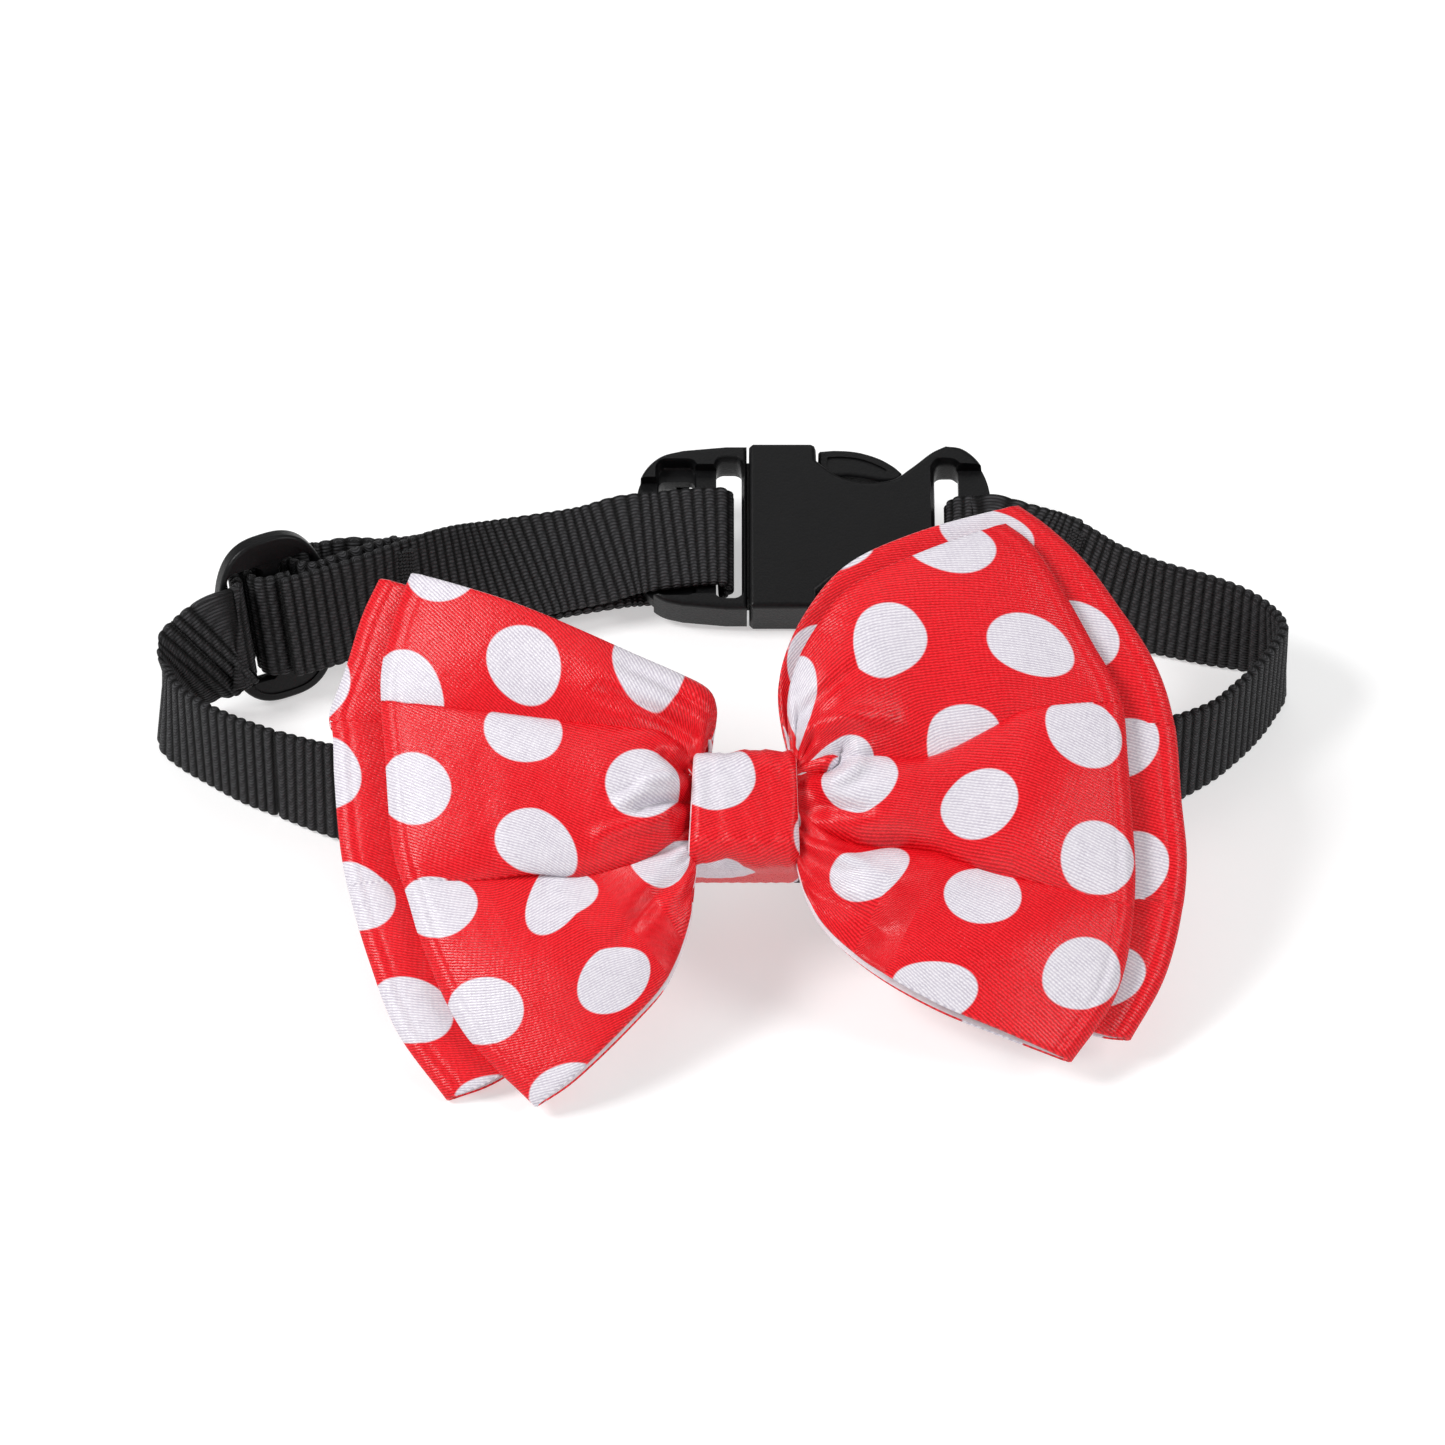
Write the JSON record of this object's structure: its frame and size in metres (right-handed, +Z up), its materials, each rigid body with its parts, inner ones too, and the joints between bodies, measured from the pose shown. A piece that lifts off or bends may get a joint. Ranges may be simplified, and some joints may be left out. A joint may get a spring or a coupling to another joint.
{
  "type": "adjustable bow tie collar",
  "caption": "Adjustable webbing collar with a double-layer dotted satin bow, side-release buckle and tri-glide slider.",
  "frame": {"origin": "centre of the bounding box's base, on the surface the collar lies on", "axes": "+X along the bow's length, to the viewer's right; +Y from the bow towards the buckle; +Z up"},
  "size_m": [0.1506, 0.1132, 0.0434],
  "materials": {
    "black_plastic": "fine matte moulded acetal",
    "black_webbing": "ribbed polypropylene webbing",
    "black_thread": "bar-tack thread",
    "dotted_satin": "red satin printed with white dots",
    "red_thread": "red sewing thread"
  },
  "bodies": {
    "collar": {"female_buckle_body": "black_plastic", "webbing_neck_run": "black_webbing", "webbing_left_turn": "black_webbing", "bar_tack_female_end": "black_thread"},
    "bow": {"front_bow_face": "dotted_satin", "front_bow_back": "dotted_satin", "rear_bow_face": "dotted_satin", "rear_bow_back": "dotted_satin", "centre_wrap": "dotted_satin", "waist_gather_thread": "red_thread", "wrap_closing_stitch": "red_thread"},
    "male_side": {"male_buckle_frame": "black_plastic", "webbing_adjust_top": "black_webbing", "webbing_adjust_return": "black_webbing"},
    "arm_rear": {"male_buckle_arm_rear": "black_plastic"},
    "arm_front": {"male_buckle_arm_front": "black_plastic"},
    "slider": {"tri_glide_slider": "black_plastic", "webbing_slider_end_loop": "black_webbing", "bar_tack_slider_end": "black_thread"}
  },
  "joints": [
    {"name": "bow_slide", "type": "slide", "parent": "collar", "child": "bow", "axis": [1, 0, 0], "range_m": [-0.008, 0.008]},
    {"name": "buckle_release", "type": "slide", "parent": "collar", "child": "male_side", "axis": [-1, 0, 0], "range_m": [0, 0.022], "deforming": ["webbing_left_turn", "male_buckle_arm_rear", "male_buckle_arm_front"]},
    {"name": "arm_rear_press", "type": "hinge", "parent": "male_side", "child": "arm_rear", "pos_m": [0.0068, 0.05203, 0.00986], "axis": [0, 0.309, -0.9511], "range_deg": [0, 8], "stiffness_Nm_per_rad": 0.05},
    {"name": "arm_front_press", "type": "hinge", "parent": "male_side", "child": "arm_front", "pos_m": [0.0068, 0.03643, 0.00479], "axis": [0, -0.309, 0.9511], "range_deg": [0, 8], "stiffness_Nm_per_rad": 0.05},
    {"name": "slider_adjust", "type": "slide", "parent": "male_side", "child": "slider", "axis": [0.9092, 0.4163, 0], "range_m": [0, 0.008], "deforming": ["webbing_adjust_top", "webbing_adjust_return"]}
  ],
  "couplings": [
    {"joint": "arm_front_press", "follows": "arm_rear_press", "ratio": 1}
  ]
}
